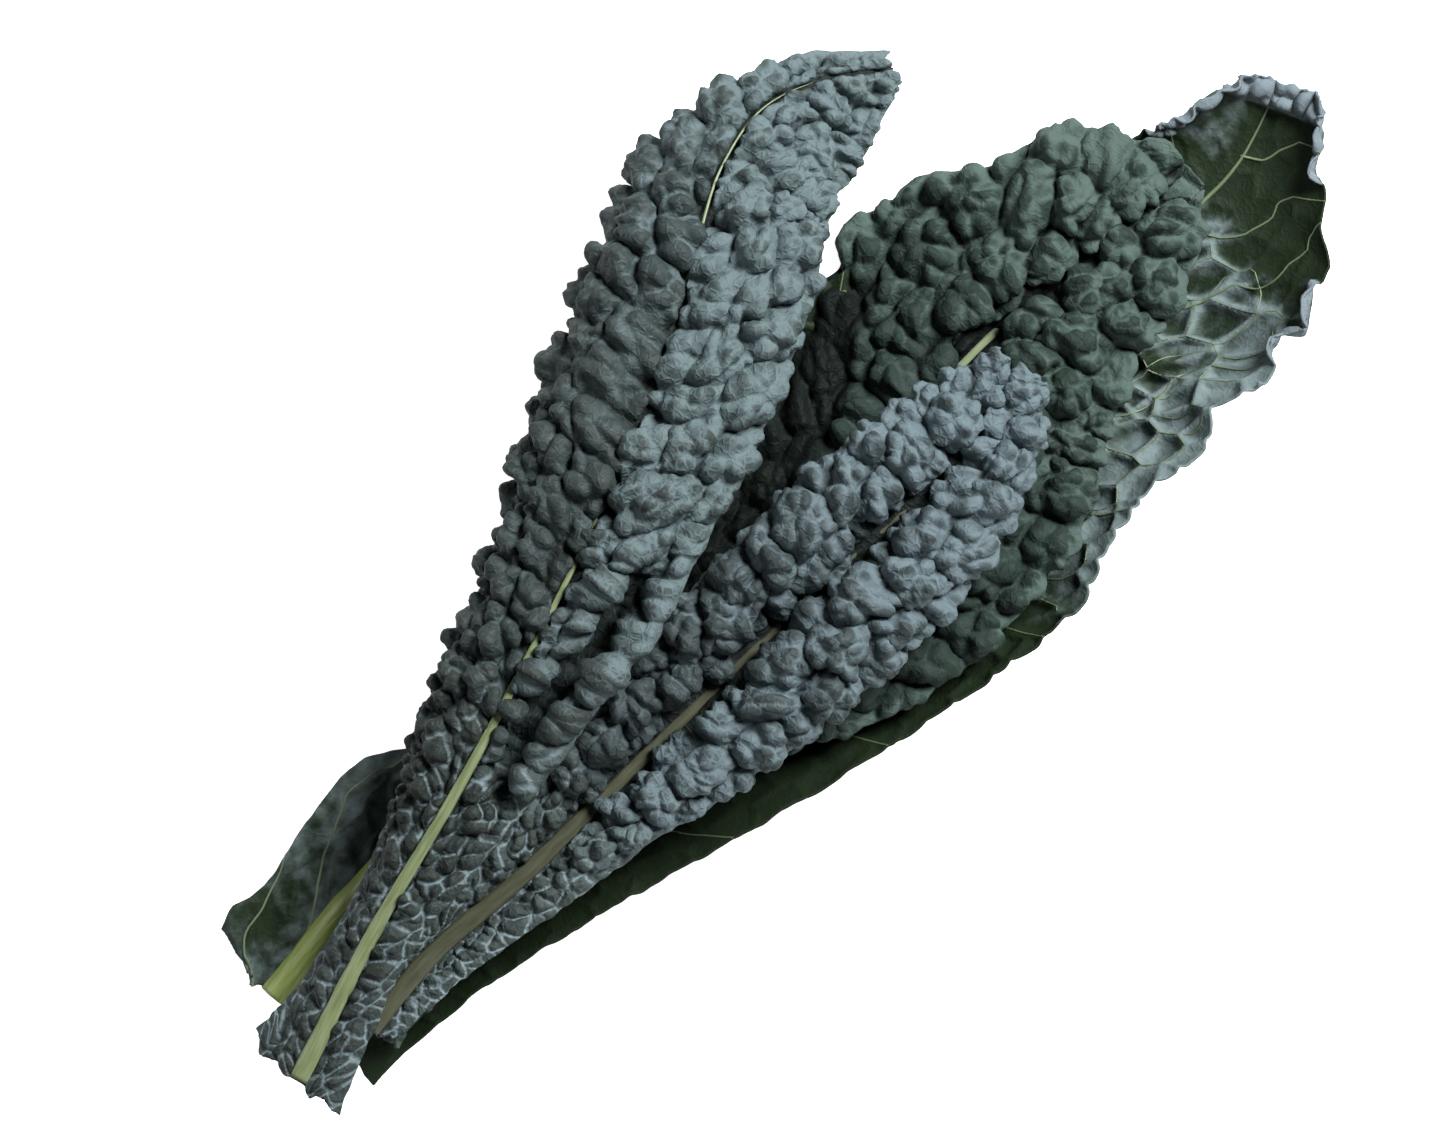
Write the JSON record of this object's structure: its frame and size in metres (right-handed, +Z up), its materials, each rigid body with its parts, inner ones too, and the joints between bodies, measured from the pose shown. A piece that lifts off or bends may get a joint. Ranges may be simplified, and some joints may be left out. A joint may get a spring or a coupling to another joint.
{
  "type": "kale bunch",
  "caption": "Bunch of long, narrow, blistered dark kale leaves with pale midribs, lying one on another with their cut ends together.",
  "frame": {"origin": "on the surface the bunch lies on, below the middle of its outline seen from above", "axes": "+Z up, +Y along the bunch from the cut ends to the leaf tips, +X to the right when the tips point away"},
  "size_m": [0.1744, 0.3818, 0.0526],
  "materials": {
    "long_blade": "waxy blue-grey leaf",
    "short_blade": "waxy blue-grey leaf",
    "broad_blade": "waxy dark green leaf",
    "cradle_blade": "smooth dark green leaf underside",
    "rib": "pale green satin stalk"
  },
  "bodies": {
    "root": {"long_leaf_blade": "long_blade", "long_leaf_rib": "rib", "short_leaf_blade": "short_blade", "short_leaf_rib": "rib", "broad_leaf_blade": "broad_blade", "broad_leaf_rib": "rib", "cradle_leaf_blade": "cradle_blade", "cradle_leaf_rib": "rib"}
  },
  "joints": []
}
